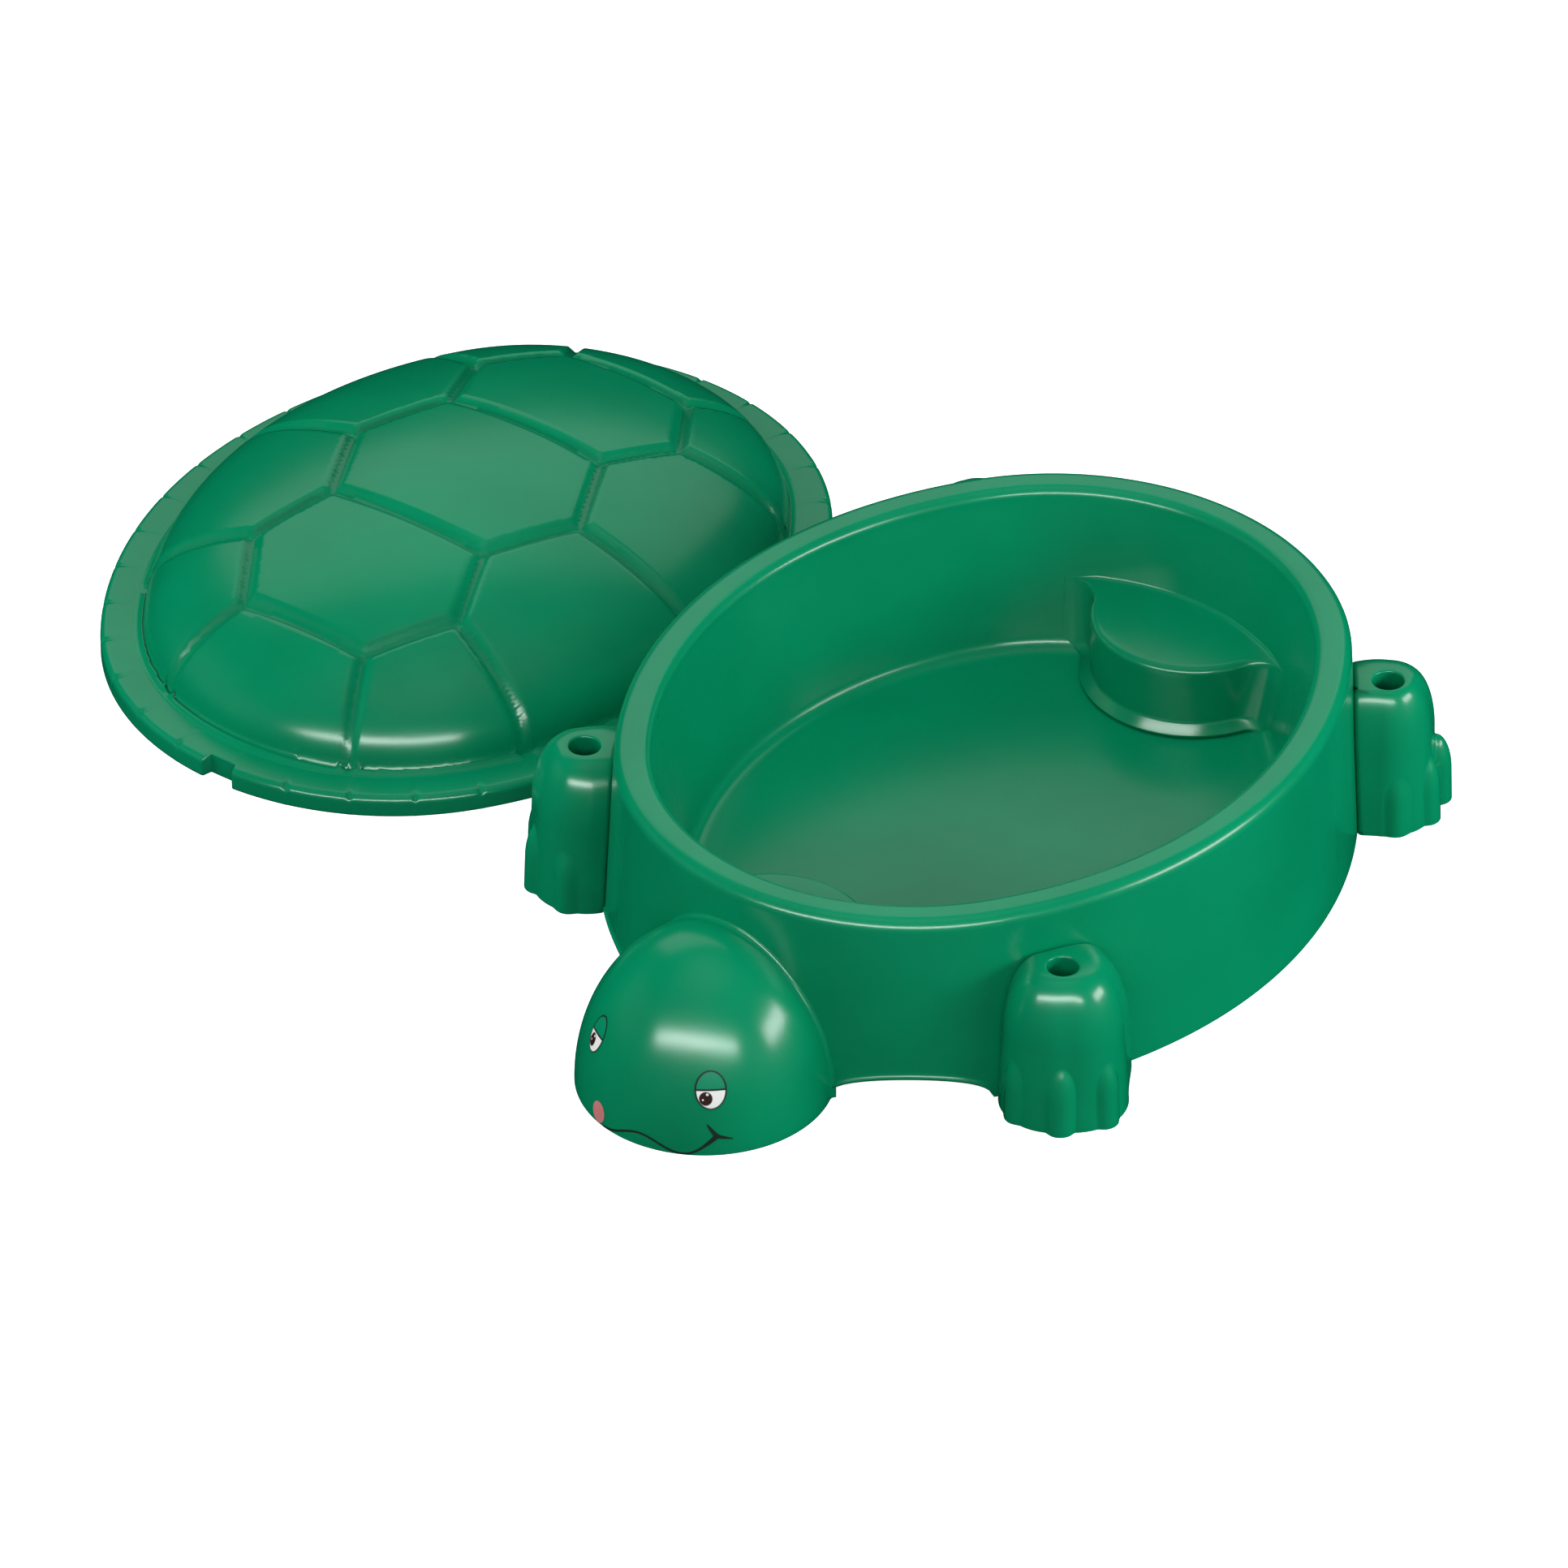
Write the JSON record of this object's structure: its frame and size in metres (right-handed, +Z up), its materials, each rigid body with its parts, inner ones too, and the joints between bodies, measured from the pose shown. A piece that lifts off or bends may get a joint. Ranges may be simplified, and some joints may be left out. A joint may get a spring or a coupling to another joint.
{
  "type": "sandbox with cover",
  "caption": "Oval moulded play tub in the shape of a turtle, with a head, toed legs with pole sockets, moulded seats and a loose domed shell cover that lies beside it.",
  "frame": {"origin": "on the ground under the middle of the tub, at the crossing of the floor's ribs", "axes": "+Z up, -Y towards the turtle's head, +X towards the turtle's own left side"},
  "size_m": [1.5294, 1.1395, 0.228],
  "materials": {
    "green_plastic": "satin moulded polyethylene",
    "cover_plastic": "satin moulded polyethylene",
    "eye_print": "printed sticker",
    "pink_print": "printed sticker",
    "black_print": "printed sticker"
  },
  "bodies": {
    "tub": {"rim_wall": "green_plastic", "bowl": "green_plastic", "floor_ribs": "green_plastic", "head": "green_plastic", "leg_front_left": "green_plastic", "leg_front_right": "green_plastic", "leg_rear_left": "green_plastic", "leg_rear_right": "green_plastic", "seat_front": "green_plastic", "seat_rear": "green_plastic", "eye_left": "eye_print", "eye_right": "eye_print", "nose_spot": "pink_print", "mouth_line": "black_print"},
    "cover": {"shell_crown": "cover_plastic", "shell_side": "cover_plastic", "cover_flange": "cover_plastic"}
  },
  "joints": [
    {"name": "cover_lift", "type": "slide", "parent": "tub", "child": "cover", "axis": [0, 0, 1], "range_m": [0, 0.45]}
  ]
}
